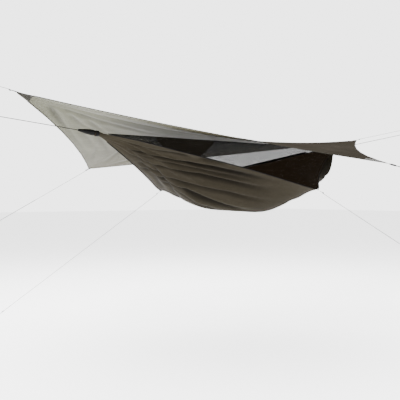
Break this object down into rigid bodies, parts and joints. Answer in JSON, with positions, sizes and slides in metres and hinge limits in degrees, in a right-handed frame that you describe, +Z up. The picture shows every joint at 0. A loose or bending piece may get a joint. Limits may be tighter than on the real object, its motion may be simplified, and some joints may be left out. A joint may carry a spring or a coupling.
{
  "type": "hammock_tent",
  "caption": "Camping hammock gathered at both ends, with a zipped mosquito net on a ridgeline, a diamond rain fly above, and guy lines",
  "frame": {"origin": "Centre of the hang ring at the head end (the left one seen from the near side), where the hammock hangs from its anchor.", "axes": "+X runs level from the head end to the foot end, +Y from the near side to the far side with the zip, +Z up."},
  "size_m": [4.7111, 4.0951, 1.8552],
  "materials": {
    "fly_cloth": "matte",
    "fly_tape": "matte",
    "bed_cloth": "matte",
    "net": "matte",
    "black_webbing": "matte",
    "cord": "matte",
    "black_plastic": "satin",
    "aluminium": "satin"
  },
  "bodies": {
    "root": {"bed": "bed_cloth", "bed_edge_tape_far": "black_webbing", "bed_edge_tape_near": "black_webbing", "fly_far_panel": "fly_cloth", "fly_guy_far": "cord", "fly_guy_near": "cord", "fly_hem_left_far": "fly_tape", "fly_hem_left_near": "fly_tape", "fly_hem_right_far": "fly_tape", "fly_hem_right_near": "fly_tape", "fly_line_left": "cord", "fly_line_right": "cord", "fly_near_panel": "fly_cloth", "fly_patch_far": "fly_tape", "fly_patch_left": "fly_tape", "fly_patch_near": "fly_tape", "fly_patch_right": "fly_tape", "fly_ridge_tape": "fly_tape", "fly_strap_near": "black_webbing", "fly_tab_far": "black_webbing", "fly_tab_left": "black_webbing", "fly_tab_right": "black_webbing", "gather_band_left": "black_webbing", "gather_band_right": "black_webbing", "hang_ring_left": "aluminium", "hang_ring_right": "aluminium", "near_buckle": "black_plastic", "net_foot_gusset": "net", "net_head_gusset": "net", "net_near_panel": "net", "ridgeline": "cord", "rope_whipping_left": "cord", "rope_whipping_right": "cord", "side_guy_far": "cord", "side_guy_near": "cord", "side_tab_far": "black_webbing", "side_tab_near": "black_webbing", "suspension_rope_left": "cord", "suspension_rope_right": "cord", "zip_tape_bed": "black_webbing"},
    "door": {"net_door": "net", "zip_tape_door": "black_webbing"},
    "slider_left": {"zip_slider_left": "black_plastic"},
    "slider_right": {"zip_slider_right": "black_plastic"},
    "pull_left": {"zip_pull_left": "black_plastic"},
    "pull_right": {"zip_pull_right": "black_plastic"},
    "pocket": {"ridgeline_pocket": "black_webbing"},
    "hook_left": {"ridgeline_hook_left": "black_plastic"},
    "hook_right": {"ridgeline_hook_right": "black_plastic"},
    "sleeve_left": {"end_sleeve_left": "black_webbing"},
    "sleeve_right": {"end_sleeve_right": "black_webbing"},
    "runner_fly_near": {"fly_guy_near_runner": "black_plastic"},
    "runner_fly_far": {"fly_guy_far_runner": "black_plastic"},
    "runner_side_near": {"side_guy_near_runner": "black_plastic"},
    "runner_side_far": {"side_guy_far_runner": "black_plastic"}
  },
  "joints": [
    {"name": "door_swing", "type": "hinge", "parent": "root", "child": "door", "pos_m": [2.133, 0, -0.07702], "axis": [1, 0, 0], "range_deg": [0, 14]},
    {"name": "zip_slider_left", "type": "slide", "parent": "door", "child": "slider_left", "axis": [-0.8687, 0.4357, -0.2357], "range_m": [-0.045, 0.3]},
    {"name": "zip_slider_right", "type": "slide", "parent": "door", "child": "slider_right", "axis": [-0.8688, 0.437, -0.233], "range_m": [-0.3, 0]},
    {"name": "zip_pull_left", "type": "hinge", "parent": "slider_left", "child": "pull_left", "pos_m": [2.68204, 0.32022, -0.23211], "axis": [-0.4951, -0.7806, 0.3816], "range_deg": [0, 150]},
    {"name": "zip_pull_right", "type": "hinge", "parent": "slider_right", "child": "pull_right", "pos_m": [2.77903, 0.27151, -0.20584], "axis": [-0.4949, -0.7834, 0.3759], "range_deg": [0, 150]},
    {"name": "ridgeline_pocket", "type": "slide", "parent": "root", "child": "pocket", "axis": [1, 0, 0], "range_m": [-0.02, 0.4]},
    {"name": "ridgeline_hook_left", "type": "slide", "parent": "root", "child": "hook_left", "axis": [1, 0, 0], "range_m": [-0.03, 0.03]},
    {"name": "ridgeline_hook_right", "type": "slide", "parent": "root", "child": "hook_right", "axis": [1, 0, 0], "range_m": [0, 0.03]},
    {"name": "end_sleeve_left", "type": "slide", "parent": "root", "child": "sleeve_left", "axis": [-0.9955, 0, 0.0952], "range_m": [0, 0.25]},
    {"name": "end_sleeve_right", "type": "slide", "parent": "root", "child": "sleeve_right", "axis": [0.9827, 0, 0.185], "range_m": [0, 0.25]},
    {"name": "fly_guy_near_runner", "type": "slide", "parent": "root", "child": "runner_fly_near", "axis": [-0.3825, 0.877, 0.2909], "range_m": [0, 0.05]},
    {"name": "fly_guy_far_runner", "type": "slide", "parent": "root", "child": "runner_fly_far", "axis": [0.3673, -0.8421, 0.3948], "range_m": [0, 0.3]},
    {"name": "side_guy_near_runner", "type": "slide", "parent": "root", "child": "runner_side_near", "axis": [-0.4588, 0.6965, 0.5518], "range_m": [0, 0.12]},
    {"name": "side_guy_far_runner", "type": "slide", "parent": "root", "child": "runner_side_far", "axis": [0.6367, -0.4776, 0.6054], "range_m": [0, 0.05]}
  ]
}
